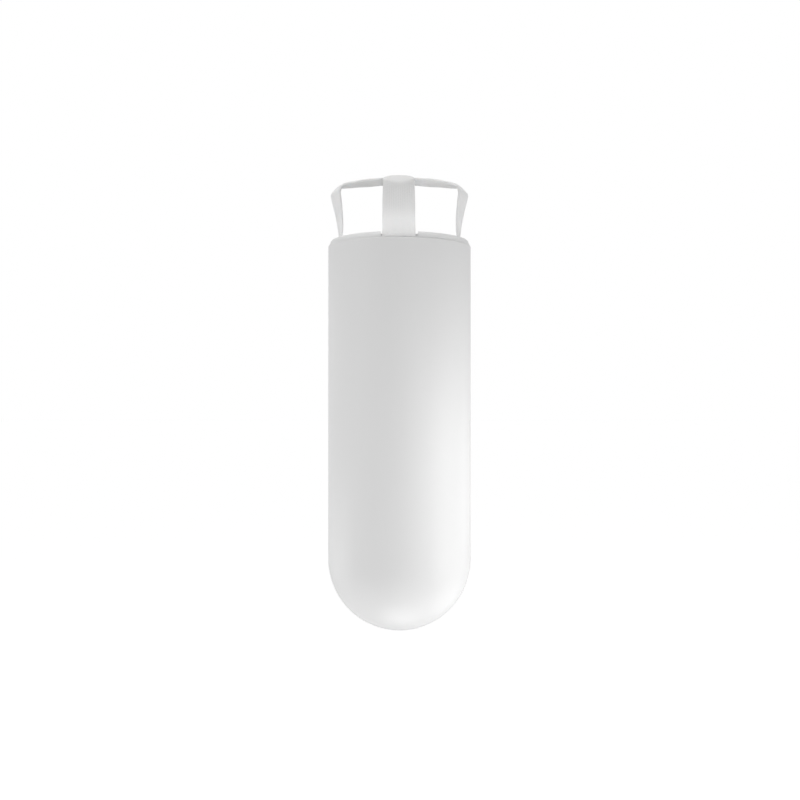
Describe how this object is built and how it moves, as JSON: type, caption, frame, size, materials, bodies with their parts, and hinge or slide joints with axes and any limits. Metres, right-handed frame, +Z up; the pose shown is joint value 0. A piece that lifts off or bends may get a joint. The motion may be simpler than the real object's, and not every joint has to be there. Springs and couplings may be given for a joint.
{
  "type": "fire blanket",
  "caption": "Wall-hung fire blanket: rolled blanket in a round-bottomed case with a crossed webbing pull handle on top, a loose lid and a slide-on wall plate.",
  "frame": {"origin": "midway between the two wall screw holes, on the wall face of the wall plate", "axes": "+Z up along the case, +Y into the wall, so -Y faces the user; +X to the user's right"},
  "size_m": [0.112, 0.1285, 0.3532],
  "materials": {
    "case_plastic": "satin",
    "plate_plastic": "satin",
    "lid_plastic": "satin",
    "seal_rubber": "matte",
    "cushion_foam": "matte",
    "steel": "satin",
    "spring_steel": "satin",
    "glass_cloth": "matte",
    "binding_tape": "matte",
    "webbing": "matte",
    "thread": "matte"
  },
  "bodies": {
    "wall_mount": {"wall_plate": "plate_plastic"},
    "case": {"case_shell": "case_plastic", "collar_ring": "case_plastic", "lid_seal": "seal_rubber", "base_cushion": "cushion_foam", "rear_saddle": "plate_plastic", "saddle_screws": "steel", "saddle_washers": "steel", "latch_spring": "spring_steel", "spring_rivet": "steel"},
    "pack": {"blanket_roll": "glass_cloth", "edge_binding": "binding_tape", "edge_stitching": "thread", "pull_strap_side": "webbing", "pull_strap_front": "webbing", "anchor_patches": "binding_tape", "anchor_stitching": "thread", "crossing_stitch": "thread"},
    "lid": {"top_lid": "lid_plastic"}
  },
  "joints": [
    {"name": "case_lift", "type": "slide", "parent": "wall_mount", "child": "case", "axis": [0, 0, 1], "range_m": [0, 0.07], "deforming": ["latch_spring"]},
    {"name": "blanket_pull", "type": "slide", "parent": "case", "child": "pack", "axis": [0, 0, 1], "range_m": [0, 0.3]},
    {"name": "lid_lift", "type": "slide", "parent": "pack", "child": "lid", "axis": [0, 0, 1], "range_m": [0, 0.036]}
  ]
}
